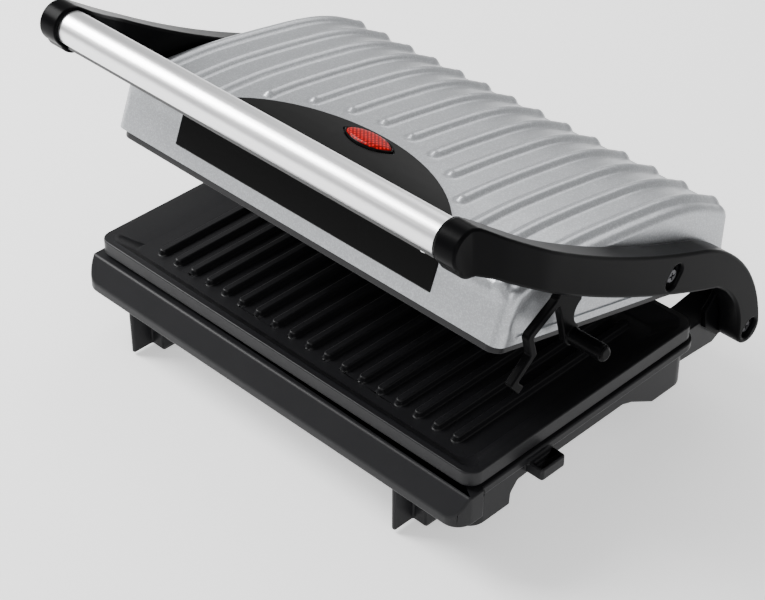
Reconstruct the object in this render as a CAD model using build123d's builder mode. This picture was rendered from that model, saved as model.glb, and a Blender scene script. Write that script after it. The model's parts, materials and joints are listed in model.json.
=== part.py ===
from build123d import *
from math import cos, radians, sin, sqrt
import os

os.makedirs("parts", exist_ok=True)

# ---------------------------------------------------------------------------
# Driving dimensions, millimetres
# ---------------------------------------------------------------------------
# The press is laid out about its own plane of symmetry (x = 0) and the middle of
# its lower grill plate (y = 0), with the table at z = 0. The row frame's origin is
# the middle of the whole outline, so every plane below starts from this point.
symmetry_x = -6.6
middle_y = -7.6

# base
rim_width, rim_depth, rim_top, rim_bottom, rim_corner = 250.0, 153.2, 52.0, 44.4, 7.0
plate_body_width, plate_body_depth, plate_under = 234.0, 137.0, 40.6
housing_top, deck_top, deck_under, skirt_bottom = 42.6, 33.7, 31.2, 19.6
wall = 2.6
housing_half_width, housing_front, housing_rear = 124.5, -76.0, 73.5
flange_half_width, flange_rear, flange_under = 126.0, 79.5, 38.0
nose_front, nose_bottom, nose_crease, nose_corner = -86.0, 27.0, 32.0, 9.0
nose_half_width = 127.0
arch_top = 31.0

# lid, measured along its own lower edge (u, rearwards) and square to it (v, upwards)
lid_tilt = 14.7
lid_front_y, lid_front_z = -61.0, 110.6
lid_half_width, lid_depth = 123.0, 162.0
lid_wall = 2.4
crown_end_u, crown_end_v = 153.0, 34.3
rib_count, rib_pitch, rib_width, rib_height = 14, 17.6, 7.0, 2.4
rib_end_radius, rib_end_centre_u = 91.0, -34.0
moon_radius, moon_centre_u, moon_front_u = 105.0, -57.0, 4.6
lens_half_width, lens_half_depth, lens_u = 16.0, 6.6, 40.0

# arms and handle
arm_inner, arm_outer = 124.5, 137.0
knuckle_inner, knuckle_outer = 116.6, 128.5
hinge_y, hinge_z = 102.5, 40.6
float_y, float_z = 38.2, 103.4
tube_y, tube_z, tube_radius, tube_wall = -85.0, 175.5, 8.2, 1.3
hook_end_radius = 8.2
latch_y, latch_z = -24.0, 132.0

home = Plane(origin=(symmetry_x, middle_y, 0))
tilt_sin, tilt_cos = sin(radians(lid_tilt)), cos(radians(lid_tilt))


def side(x):
    """Upright plane across the press at x: sketch coordinates are (y, z), normal +X."""
    return Plane(origin=(symmetry_x + x, middle_y, 0), x_dir=(0, 1, 0), z_dir=(1, 0, 0))


def lid_level(v):
    """Plane parallel to the lid's lower edge at height v: sketch coordinates are (x, u)."""
    return Plane(
        origin=(symmetry_x, middle_y + lid_front_y + v * tilt_sin, lid_front_z + v * tilt_cos),
        x_dir=(1, 0, 0),
        z_dir=(0, tilt_sin, tilt_cos),
    )


def lid_side(x):
    """Plane across the lid at x: sketch coordinates are (u, v), normal +X."""
    return Plane(
        origin=(symmetry_x + x, middle_y + lid_front_y, lid_front_z),
        x_dir=(0, tilt_cos, -tilt_sin),
        z_dir=(1, 0, 0),
    )


def rear_facing(y):
    """Upright plane at y: sketch coordinates are (-x, z), normal +Y."""
    return Plane(origin=(symmetry_x, middle_y + y, 0), x_dir=(-1, 0, 0), z_dir=(0, 1, 0))


# ---------------------------------------------------------------------------
# Fasteners
# ---------------------------------------------------------------------------
def screw(shank_radius, shank_length, head_radius, head_height):
    """Pan-head screw standing on its local origin, head up, cross recess in the head."""
    with BuildPart() as one:
        Cylinder(shank_radius, shank_length, align=(Align.CENTER, Align.CENTER, Align.MAX))
        Cylinder(head_radius, head_height, align=(Align.CENTER, Align.CENTER, Align.MIN))
        fillet(one.edges().filter_by(GeomType.CIRCLE).sort_by(Axis.Z)[-1], head_height * 0.45)
        for turn in (0, 90):
            with Locations(Location((0, 0, head_height), (0, 0, turn))):
                Box(head_radius * 1.1, head_radius * 0.24, head_height, mode=Mode.SUBTRACT)
    return one.part


# ---------------------------------------------------------------------------
# Base
# ---------------------------------------------------------------------------
foot_bottom_width, leg_bottom = 10.0, 1.4
plate_screw_x, plate_screw_y = 96.0, 52.0
cover_half_width, cover_front, cover_rear = 112.0, -57.0, 50.0
ear_inner, ear_outer, ear_radius = 104.0, 120.5, 6.5
inlet_x, inlet_z, inlet_radius = -58.0, 26.0, 5.0
tab_front, tab_rear, tab_outer, tab_top, tab_bottom = -41.0, -25.5, 134.4, 39.4, 33.0

with BuildPart() as base_housing:
    # side, front and rear walls
    with BuildSketch(home.offset(skirt_bottom)):
        with Locations((0, (housing_front + housing_rear) / 2)):
            RectangleRounded(2 * housing_half_width, housing_rear - housing_front, 9)
    extrude(amount=housing_top - skirt_bottom)
    # band that stands proud under the grill plate's rim
    with BuildSketch(home.offset(flange_under)):
        with Locations((0, (flange_rear - 79.0) / 2)):
            RectangleRounded(2 * flange_half_width, flange_rear + 79.0, 10)
    extrude(amount=housing_top - flange_under)
    # sloped nose with rounded ends
    with BuildSketch(home.offset(nose_bottom)):
        with Locations((0, (nose_front - 40.0) / 2)):
            RectangleRounded(2 * nose_half_width, -40.0 - nose_front, nose_corner)
        with Locations((0, -50.0)):
            Rectangle(2 * nose_half_width, 40.0, mode=Mode.SUBTRACT)
    extrude(amount=housing_top - nose_bottom)
    with BuildSketch(side(-140)):
        with BuildLine():
            Polyline(
                (nose_front - 6, nose_crease),
                (nose_front, nose_crease),
                (-79.0, housing_top),
                (-79.0, housing_top + 6),
                (nose_front - 6, housing_top + 6),
                close=True,
            )
        make_face()
    extrude(amount=280, mode=Mode.SUBTRACT)
    # hollow under the deck, and the open tray over it
    for low, high in ((skirt_bottom, deck_under), (deck_top, housing_top)):
        with BuildSketch(home.offset(low)):
            with Locations((0, (housing_front + housing_rear) / 2)):
                RectangleRounded(
                    2 * (housing_half_width - wall), housing_rear - housing_front - 2 * wall, 7
                )
        extrude(amount=high - low, mode=Mode.SUBTRACT)
    # hollow behind the nose's lower lip
    with BuildSketch(home.offset(nose_bottom)):
        with Locations((0, -79.6)):
            Rectangle(224, 7.2)
    extrude(amount=4.0, mode=Mode.SUBTRACT)
    # long arch in each side wall between the corner blocks
    with BuildSketch(side(-130)):
        with BuildLine():
            Polyline(
                (-51.0, 10.0),
                (-49.5, 26.0),
                (-45.0, arch_top),
                (26.0, arch_top),
                (33.0, 28.5),
                (49.0, skirt_bottom - 0.2),
                (49.0, 10.0),
                close=True,
            )
        make_face()
    extrude(amount=260, mode=Mode.SUBTRACT)
    # opening in the deck for the bottom cover
    with BuildSketch(home.offset(deck_under - 1)):
        with Locations((0, (cover_front + cover_rear) / 2)):
            RectangleRounded(2 * cover_half_width - 12, cover_rear - cover_front - 12, 6)
    extrude(amount=deck_top - deck_under + 2, mode=Mode.SUBTRACT)
    # pillars that carry the grill plate
    with BuildSketch(home.offset(deck_under)):
        with GridLocations(2 * plate_screw_x, 2 * plate_screw_y, 2, 2):
            RectangleRounded(12, 12, 3)
    extrude(amount=plate_under - deck_under)
    # front feet: a fin under the nose, with a hollow box leg behind it
    for foot_x in (85.0, -95.5):
        with BuildSketch(home.offset(leg_bottom)):
            with Locations((foot_x + 1.2, -73.0)):
                Rectangle(2.4, 22.6)
            with Locations((foot_x + foot_bottom_width / 2, -66.0)):
                Rectangle(foot_bottom_width, 13.0)
                Rectangle(foot_bottom_width - 4.8, 8.2, mode=Mode.SUBTRACT)
        extrude(amount=deck_under + 0.5 - leg_bottom)
    # rear feet: hollow box legs inside the rear wall
    with BuildSketch(home.offset(leg_bottom)):
        for foot_x in (90.0, -90.0):
            with Locations((foot_x, 62.0)):
                Rectangle(foot_bottom_width + 2, 14.0)
                Rectangle(foot_bottom_width - 2.8, 9.2, mode=Mode.SUBTRACT)
    extrude(amount=deck_under + 0.5 - leg_bottom)
    # hinge ears behind the rear wall
    for ear_x in (ear_inner, -ear_outer):
        with BuildSketch(side(ear_x)):
            with BuildLine():
                Polyline(
                    (housing_rear - 2, 27.5),
                    (98.0, 25.6),
                    (hinge_y + 0.4, 28.0),
                    (hinge_y, hinge_z - ear_radius),
                    (hinge_y, hinge_z + ear_radius),
                    (housing_rear - 2, housing_top - 0.5),
                    close=True,
                )
            make_face()
            with Locations((hinge_y, hinge_z)):
                Circle(ear_radius)
        extrude(amount=ear_outer - ear_inner)
        with BuildSketch(side(ear_x)):
            with Locations((hinge_y, hinge_z)):
                Circle(2.5)
        extrude(amount=ear_outer - ear_inner, mode=Mode.SUBTRACT)
    # catch for the storage latch on the right side: a small open-topped pocket
    with BuildSketch(home.offset(tab_bottom)):
        with Locations(((housing_half_width - 1 + tab_outer) / 2, (tab_front + tab_rear) / 2)):
            RectangleRounded(tab_outer - housing_half_width + 1, tab_rear - tab_front, 1.5)
    extrude(amount=tab_top - tab_bottom)
    with BuildSketch(home.offset(tab_top - 2.2)):
        with Locations(((housing_half_width + 2.5 + tab_outer) / 2, (tab_front + tab_rear) / 2)):
            Rectangle(tab_outer - housing_half_width - 5.5, tab_rear - tab_front - 3)
    extrude(amount=4, mode=Mode.SUBTRACT)
    # hole for the supply lead's bush in the rear wall
    with BuildSketch(rear_facing(housing_rear - wall - 1)):
        with Locations((-inlet_x, inlet_z)):
            Circle(inlet_radius + 0.1)
    extrude(amount=wall + 2, mode=Mode.SUBTRACT)
    # screw holes: grill plate through the pillars, cover into the deck
    with BuildSketch(home.offset(deck_under - 1)):
        with GridLocations(2 * plate_screw_x, 2 * plate_screw_y, 2, 2):
            Circle(1.9)
    extrude(amount=plate_under - deck_under + 2, mode=Mode.SUBTRACT)
    with BuildSketch(home.offset(deck_under - 1)):
        with Locations((0, (cover_front + cover_rear) / 2)):
            with GridLocations(2 * cover_half_width - 7, cover_rear - cover_front - 30, 2, 2):
                Circle(1.45)
    extrude(amount=6, mode=Mode.SUBTRACT)
base_housing.part.label = "base_housing"
export_step(base_housing.part, "parts/base_housing.step")

with BuildPart() as base_bottom_cover:
    with BuildSketch(home.offset(deck_under - 2.0)):
        with Locations((0, (cover_front + cover_rear) / 2)):
            RectangleRounded(2 * cover_half_width, cover_rear - cover_front, 6)
    extrude(amount=1.9)
    # ventilation slots
    with BuildSketch(home.offset(deck_under - 2.5)):
        with Locations((0, (cover_front + cover_rear) / 2)):
            with GridLocations(12, 52, 13, 2):
                SlotOverall(34, 3.6, rotation=90)
    extrude(amount=3, mode=Mode.SUBTRACT)
    with BuildSketch(home.offset(deck_under - 2.5)):
        with Locations((0, (cover_front + cover_rear) / 2)):
            with GridLocations(2 * cover_half_width - 7, cover_rear - cover_front - 30, 2, 2):
                Circle(1.6)
    extrude(amount=3, mode=Mode.SUBTRACT)
    # corners cleared for the grill plate's screws
    with BuildSketch(home.offset(deck_under - 2.5)):
        with GridLocations(2 * plate_screw_x, 2 * plate_screw_y, 2, 2):
            Rectangle(16, 16)
    extrude(amount=3, mode=Mode.SUBTRACT)
base_bottom_cover.part.label = "base_bottom_cover"
export_step(base_bottom_cover.part, "parts/base_bottom_cover.step")


# ---------------------------------------------------------------------------
# Grill plates
# ---------------------------------------------------------------------------
groove_pitch = 11.6
heater_radius = 3.1
heater_half_width, heater_half_depth = 84.0, 40.0


def heater_path(plane):
    """Two nested legs of a tubular element, both ends leaving at the back."""
    with BuildLine(plane) as path:
        FilletPolyline(
            (-18, 62),
            (-18, heater_half_depth - 4),
            (-heater_half_width, heater_half_depth - 4),
            (-heater_half_width, -heater_half_depth),
            (heater_half_width, -heater_half_depth),
            (heater_half_width, heater_half_depth - 4),
            (18, heater_half_depth - 4),
            (18, 62),
            radius=11,
        )
    return path


with BuildPart() as lower_grill_plate:
    with BuildSketch(home.offset(rim_bottom)):
        RectangleRounded(rim_width, rim_depth, rim_corner)
    extrude(amount=rim_top - rim_bottom)
    with BuildSketch(home.offset(plate_under)):
        RectangleRounded(plate_body_width, plate_body_depth, 6)
    extrude(amount=rim_bottom - plate_under)
    # cooking tray with sloping sides
    with BuildSketch(home.offset(rim_top + 0.01)):
        RectangleRounded(rim_width - 7, rim_depth - 7, rim_corner - 2)
    with BuildSketch(home.offset(rim_top - 6.4)):
        RectangleRounded(rim_width - 28, rim_depth - 22, 8)
    loft(mode=Mode.SUBTRACT)
    # raised ribs
    with BuildSketch(home.offset(rim_top - 6.6)):
        with GridLocations(groove_pitch, 1, 18, 1):
            SlotOverall(rim_depth - 34, 5.0, rotation=90)
    extrude(amount=3.2, taper=12)
    # channel for the heating element and holes for the fixing screws
    with BuildSketch(home.offset(plate_under - 1)):
        with GridLocations(2 * plate_screw_x, 2 * plate_screw_y, 2, 2):
            Circle(1.5)
    extrude(amount=4.0, mode=Mode.SUBTRACT)
    lower_heater_line = heater_path(home.offset(plate_under - 1.2))
    with BuildSketch(Plane(lower_heater_line.line @ 0, z_dir=lower_heater_line.line % 0)):
        Circle(heater_radius + 0.05)
    sweep(path=lower_heater_line.line, mode=Mode.SUBTRACT)
lower_grill_plate.part.label = "lower_grill_plate"
export_step(lower_grill_plate.part, "parts/lower_grill_plate.step")

with BuildPart() as lower_heating_element:
    with BuildSketch(Plane(lower_heater_line.line @ 0, z_dir=lower_heater_line.line % 0)):
        Circle(heater_radius)
    sweep(path=lower_heater_line.line)
lower_heating_element.part.label = "lower_heating_element"
export_step(lower_heating_element.part, "parts/lower_heating_element.step")

with BuildPart() as lower_heat_shield:
    with BuildSketch(home.offset(deck_top + 0.3)):
        RectangleRounded(214, 128, 8)
        with GridLocations(2 * plate_screw_x, 2 * plate_screw_y, 2, 2):
            RectangleRounded(14, 14, 3, mode=Mode.SUBTRACT)
    extrude(amount=0.6)
    with BuildSketch(home.offset(deck_top + 0.3)):
        with Locations((0, 15)):
            Rectangle(46, 30, mode=Mode.ADD)
    extrude(amount=0.6, mode=Mode.SUBTRACT)
lower_heat_shield.part.label = "lower_heat_shield"
export_step(lower_heat_shield.part, "parts/lower_heat_shield.step")

# ---------------------------------------------------------------------------
# Parts inside and under the base
# ---------------------------------------------------------------------------
thermostat_size = (26.0, 13.0, 4.6)


def box_on(plane, centre_x, centre_y, size):
    """Rounded block standing on a plane."""
    with BuildPart() as block:
        with BuildSketch(plane):
            with Locations((centre_x, centre_y)):
                RectangleRounded(size[0], size[1], 1.2)
        extrude(amount=size[2])
    return block.part


with BuildPart() as lower_thermostat:
    add(box_on(home.offset(plate_under - 5.0), 0, 12, thermostat_size))
    with BuildSketch(home.offset(plate_under - 0.4)):
        with Locations((0, 12)):
            Circle(5)
    extrude(amount=0.35)
    # terminal blades at both ends
    with BuildSketch(home.offset(plate_under - 3.4)):
        with Locations((0, 12)):
            Rectangle(42, 5)
    extrude(amount=0.8)
lower_thermostat.part.label = "lower_thermostat"
export_step(lower_thermostat.part, "parts/lower_thermostat.step")

with BuildPart() as thermal_fuse:
    with BuildSketch(home.offset(plate_under - 3.0)):
        with Locations((34, 12)):
            SlotOverall(22, 3.2)
    extrude(amount=2.4)
thermal_fuse.part.label = "thermal_fuse"
export_step(thermal_fuse.part, "parts/thermal_fuse.step")

with BuildPart() as terminal_block:
    add(box_on(home.offset(deck_top + 1.0), -58, 52, (34.0, 13.0, 5.0)))
    with BuildSketch(home.offset(deck_top + 3.6)):
        with Locations((-58, 52)):
            with GridLocations(10, 1, 3, 1):
                Circle(2.4)
    extrude(amount=4, mode=Mode.SUBTRACT)
terminal_block.part.label = "terminal_block"
export_step(terminal_block.part, "parts/terminal_block.step")

with BuildPart() as lead_bush:
    with BuildSketch(rear_facing(housing_rear - wall - 1.6)):
        with Locations((-inlet_x, inlet_z)):
            Circle(inlet_radius)
    extrude(amount=wall + 1.6)
    with BuildSketch(rear_facing(housing_rear)):
        with Locations((-inlet_x, inlet_z)):
            Circle(inlet_radius + 1.4)
    extrude(amount=3.4, taper=8)
    with BuildSketch(rear_facing(housing_rear - 6)):
        with Locations((-inlet_x, inlet_z)):
            Circle(2.9)
    extrude(amount=14, mode=Mode.SUBTRACT)
lead_bush.part.label = "lead_bush"
export_step(lead_bush.part, "parts/lead_bush.step")

foot_spots = ((90.0, -66.0), (-90.5, -66.0), (90.0, 62.0), (-90.0, 62.0))
with BuildPart() as foot_pads:
    for pad_x, pad_y in foot_spots:
        # plug inside the hollow leg with its flange under the leg
        with BuildSketch(home):
            with Locations((pad_x, pad_y)):
                RectangleRounded(8.6, 10.6, 1.2)
        extrude(amount=leg_bottom)
        with BuildSketch(home.offset(leg_bottom)):
            with Locations((pad_x, pad_y)):
                RectangleRounded(4.9, 7.9, 0.8)
        extrude(amount=4.0)
foot_pads.part.label = "foot_pads"
export_step(foot_pads.part, "parts/foot_pads.step")

with BuildPart() as base_screws:
    lower_screw = screw(1.5, 11.4, 3.0, 1.6)
    for sx in (-plate_screw_x, plate_screw_x):
        for sy in (-plate_screw_y, plate_screw_y):
            with Locations(home.offset(deck_under) * Location((sx, sy, 0), (180, 0, 0))):
                add(lower_screw)
base_screws.part.label = "base_screws"
export_step(base_screws.part, "parts/base_screws.step")

with BuildPart() as cover_screws:
    cover_screw = screw(1.4, 4.2, 2.8, 1.4)
    for sx in (-cover_half_width + 3.5, cover_half_width - 3.5):
        for sy in (cover_front + 15, cover_rear - 15):
            with Locations(home.offset(deck_under - 2.0) * Location((sx, sy, 0), (180, 0, 0))):
                add(cover_screw)
cover_screws.part.label = "cover_screws"
export_step(cover_screws.part, "parts/cover_screws.step")


# ---------------------------------------------------------------------------
# Lid
# ---------------------------------------------------------------------------
crown_points = ((3.0, 23.6), (20.0, 31.2), (73.0, 39.3), (107.0, 42.0), (140.0, 38.0))
plate_top_v, rim_low_v, rim_high_v = 8.0, -4.5, -0.3
float_u = (float_y - lid_front_y) * tilt_cos - (float_z - lid_front_z) * tilt_sin
float_v = (float_y - lid_front_y) * tilt_sin + (float_z - lid_front_z) * tilt_cos
lens_v = 35.0
lens_slope = 10.0


def lid_body(inset, low=0.0):
    """Whole outer form of the lid, shrunk by an inset on every side but the bottom."""
    points = [(u + (inset if u < 10 else 0), v - inset) for u, v in crown_points]
    with BuildPart() as form:
        with BuildSketch(lid_side(-lid_half_width + inset)):
            with BuildLine():
                Polyline(
                    points[0],
                    (inset, low),
                    (lid_depth - inset, low),
                    (crown_end_u - inset, crown_end_v - inset),
                )
                Spline(*points, (crown_end_u - inset, crown_end_v - inset))
            make_face()
        extrude(amount=2 * (lid_half_width - inset))
        uprights = form.edges().filter_by(lambda e: e.length > 18 and abs(e.tangent_at(0.5).Z) > 0.8)
        fillet(uprights, 6.0 - inset * 0.8)
    return form.part


def crown_band(low, high):
    """Sheet that follows the top of the lid between two heights above its skin."""
    with BuildPart() as band:
        with BuildSketch(lid_side(-lid_half_width + 2)):
            with BuildLine():
                top = [(u, v + high) for u, v in crown_points + ((crown_end_u, crown_end_v),)]
                bottom = [(u, v + low) for u, v in crown_points + ((crown_end_u, crown_end_v),)]
                Spline(*top)
                Line(top[-1], bottom[-1])
                Spline(*bottom)
                Line(bottom[0], top[0])
            make_face()
        extrude(amount=2 * (lid_half_width - 2))
    return band.part


def moon_prism(grow):
    """Upright prism over the half-moon panel's outline."""
    with BuildPart() as prism:
        with BuildSketch(lid_level(15)):
            with Locations((0, moon_centre_u)):
                Circle(moon_radius + grow)
            with Locations((0, moon_front_u - grow - 200)):
                Rectangle(400, 400, mode=Mode.SUBTRACT)
        extrude(amount=40)
    return prism.part


def lens_outline(scale):
    """Pointed oval from two arcs, centred on the sketch origin."""
    with BuildSketch(Plane.XY, mode=Mode.PRIVATE) as oval:
        with BuildLine():
            ThreePointArc(
                (-lens_half_width - scale, 0), (0, lens_half_depth + scale), (lens_half_width + scale, 0)
            )
            ThreePointArc(
                (lens_half_width + scale, 0), (0, -lens_half_depth - scale), (-lens_half_width - scale, 0)
            )
        make_face()
    return oval.sketch


lens_plane = Plane(
    origin=lid_side(0).from_local_coords((lens_u, lens_v, 0)),
    x_dir=(1, 0, 0),
    z_dir=(0, sin(radians(lid_tilt - lens_slope)), cos(radians(lid_tilt - lens_slope))),
)

moon_recess = crown_band(-0.9, 12) & moon_prism(0.25)

with BuildPart() as rib_bars:
    with BuildSketch(lid_level(18)):
        for index in range(rib_count):
            rib_x = (index - (rib_count - 1) / 2) * rib_pitch
            half = rib_width / 2
            front_u = 3.4
            if abs(rib_x) < 70:
                front_u = sqrt(rib_end_radius**2 - rib_x**2) + rib_end_centre_u
            with Locations((rib_x, (front_u + half + 154) / 2)):
                Rectangle(rib_width, 154 - front_u - half)
            if abs(rib_x) < 70:
                with Locations((rib_x, front_u + half)):
                    Circle(half)
    extrude(amount=34)
ribs = rib_bars.part & crown_band(-1.0, rib_height)

with BuildPart() as lid_shell:
    add(lid_body(0))
    add(lid_body(lid_wall, -3), mode=Mode.SUBTRACT)
    add(ribs)
    add(moon_recess, mode=Mode.SUBTRACT)
    # bosses for the lid's side pivots
    for boss_x in (112.0, -121.0):
        with BuildSketch(lid_side(boss_x)):
            with Locations((float_u, float_v)):
                Circle(6.5)
        extrude(amount=9.0)
    with BuildSketch(lid_side(-130)):
        with Locations((float_u, float_v)):
            Circle(2.66)
    extrude(amount=260, mode=Mode.SUBTRACT)
    # pillars that carry the upper grill plate
    for pillar_u, pillar_top in ((30.0, 31.5), (132.0, 38.0)):
        with BuildSketch(lid_level(plate_top_v)):
            with Locations((-92, pillar_u), (92, pillar_u)):
                Circle(4.0)
                Circle(1.5, mode=Mode.SUBTRACT)
        extrude(amount=pillar_top - plate_top_v)
    # shallow seat for the blank front plate
    with BuildSketch(lid_side(-82.4)):
        with BuildLine():
            Polyline((-3, 6.6), (1.78, 6.6), (3.92, 23.2), (-3, 23.2), close=True)
        make_face()
    extrude(amount=164.8, mode=Mode.SUBTRACT)
    # window for the indicator lens
    with BuildSketch(lens_plane.offset(-8)):
        add(lens_outline(0.3))
    extrude(amount=16, mode=Mode.SUBTRACT)
lid_shell.part.label = "lid_shell"
export_step(lid_shell.part, "parts/lid_shell.step")

with BuildPart() as half_moon_panel:
    add(crown_band(-0.9, 0.7) & moon_prism(0))
    with BuildSketch(lens_plane.offset(-8)):
        add(lens_outline(0.3))
    extrude(amount=16, mode=Mode.SUBTRACT)
half_moon_panel.part.label = "half_moon_panel"
export_step(half_moon_panel.part, "parts/half_moon_panel.step")

with BuildPart() as front_plate:
    with BuildSketch(lid_side(-82.1)):
        with BuildLine():
            Polyline((0.45, 6.9), (1.78, 6.9), (3.85, 22.9), (2.5, 22.9), close=True)
        make_face()
    extrude(amount=164.2)
front_plate.part.label = "front_plate"
export_step(front_plate.part, "parts/front_plate.step")

with BuildPart() as indicator_lens:
    with BuildSketch(lens_plane.offset(-5)):
        add(lens_outline(0))
    extrude(amount=7.2)
    with BuildSketch(lens_plane.offset(2.2)):
        add(lens_outline(0))
    extrude(amount=1.6, taper=40)
    # hollow for the lamp
    with BuildSketch(lens_plane.offset(-5)):
        SlotOverall(22, 7)
    extrude(amount=5.0, mode=Mode.SUBTRACT)
indicator_lens.part.label = "indicator_lens"
export_step(indicator_lens.part, "parts/indicator_lens.step")

with BuildPart() as indicator_lamp:
    with BuildSketch(lens_plane.offset(-9)):
        SlotOverall(30, 10)
    extrude(amount=3.9)
    with BuildSketch(lens_plane.offset(-5.1)):
        SlotOverall(18, 5)
    extrude(amount=4.2)
indicator_lamp.part.label = "indicator_lamp"
export_step(indicator_lamp.part, "parts/indicator_lamp.step")

upper_centre_u = 80.0
with BuildPart() as upper_grill_plate:
    with BuildSketch(lid_level(rim_low_v)):
        with Locations((0, upper_centre_u)):
            RectangleRounded(242, 156, 6)
    extrude(amount=rim_high_v - rim_low_v)
    with BuildSketch(lid_level(rim_high_v)):
        with Locations((0, upper_centre_u)):
            RectangleRounded(230, 144, 6)
    extrude(amount=plate_top_v - rim_high_v)
    # cooking tray, open downwards, with ribs
    with BuildSketch(lid_level(rim_low_v - 0.01)):
        with Locations((0, upper_centre_u)):
            RectangleRounded(235, 149, 5)
    with BuildSketch(lid_level(rim_low_v + 6.4)):
        with Locations((0, upper_centre_u)):
            RectangleRounded(216, 132, 6)
    loft(mode=Mode.SUBTRACT)
    with BuildSketch(lid_level(rim_low_v + 6.6)):
        with Locations((0, upper_centre_u)):
            with GridLocations(groove_pitch, 1, 17, 1):
                SlotOverall(120, 5.0, rotation=90)
    extrude(amount=-3.2, taper=12)
    # screw holes, counterbored from the cooking side
    for pillar_u in (30.0, 132.0):
        with BuildSketch(lid_level(rim_low_v)):
            with Locations((-92, pillar_u), (92, pillar_u)):
                Circle(1.9)
        extrude(amount=16, mode=Mode.SUBTRACT)
        with BuildSketch(lid_level(rim_low_v)):
            with Locations((-92, pillar_u), (92, pillar_u)):
                Circle(3.4)
        extrude(amount=8.6, mode=Mode.SUBTRACT)
    upper_heater_line = heater_path(lid_level(plate_top_v + 1.2))
    upper_shift = lid_level(0).y_dir * (upper_centre_u - 3)
    upper_wire = upper_heater_line.line.moved(Location(upper_shift))
    with BuildSketch(Plane(upper_wire @ 0, z_dir=upper_wire % 0)):
        Circle(heater_radius + 0.05)
    sweep(path=upper_wire, mode=Mode.SUBTRACT)
upper_grill_plate.part.label = "upper_grill_plate"
export_step(upper_grill_plate.part, "parts/upper_grill_plate.step")

with BuildPart() as upper_heating_element:
    with BuildSketch(Plane(upper_wire @ 0, z_dir=upper_wire % 0)):
        Circle(heater_radius)
    sweep(path=upper_wire)
upper_heating_element.part.label = "upper_heating_element"
export_step(upper_heating_element.part, "parts/upper_heating_element.step")

with BuildPart() as upper_heat_shield:
    with BuildSketch(lid_level(13.0)):
        with Locations((0, upper_centre_u)):
            RectangleRounded(216, 124, 6)
        with Locations((-92, 30), (92, 30), (-92, 132), (92, 132)):
            Circle(4.6, mode=Mode.SUBTRACT)
        with Locations((0, 95)):
            Rectangle(46, 30, mode=Mode.SUBTRACT)
        with Locations((-115, float_u), (115, float_u)):
            Rectangle(22, 22, mode=Mode.SUBTRACT)
    extrude(amount=0.6)
upper_heat_shield.part.label = "upper_heat_shield"
export_step(upper_heat_shield.part, "parts/upper_heat_shield.step")

with BuildPart() as upper_thermostat:
    add(box_on(lid_level(plate_top_v + 0.3), 0, 95, thermostat_size))
    with BuildSketch(lid_level(plate_top_v)):
        with Locations((0, 95)):
            Circle(5)
    extrude(amount=0.3)
upper_thermostat.part.label = "upper_thermostat"
export_step(upper_thermostat.part, "parts/upper_thermostat.step")

with BuildPart() as upper_plate_screws:
    upper_screw = screw(1.45, 12, 3.0, 1.6)
    for sx in (-92, 92):
        for su in (30.0, 132.0):
            with Locations(lid_level(rim_low_v + 8.6) * Location((sx, su, 0), (180, 0, 0))):
                add(upper_screw)
upper_plate_screws.part.label = "upper_plate_screws"
export_step(upper_plate_screws.part, "parts/upper_plate_screws.step")


# ---------------------------------------------------------------------------
# Arms, handle and rear cover
# ---------------------------------------------------------------------------
mirror_plane = Plane(origin=(symmetry_x, 0, 0), z_dir=(1, 0, 0))
latch_inner, latch_outer = 127.6, 131.6
cover_screw_y, cover_screw_z = 101.5, 56.0

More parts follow.
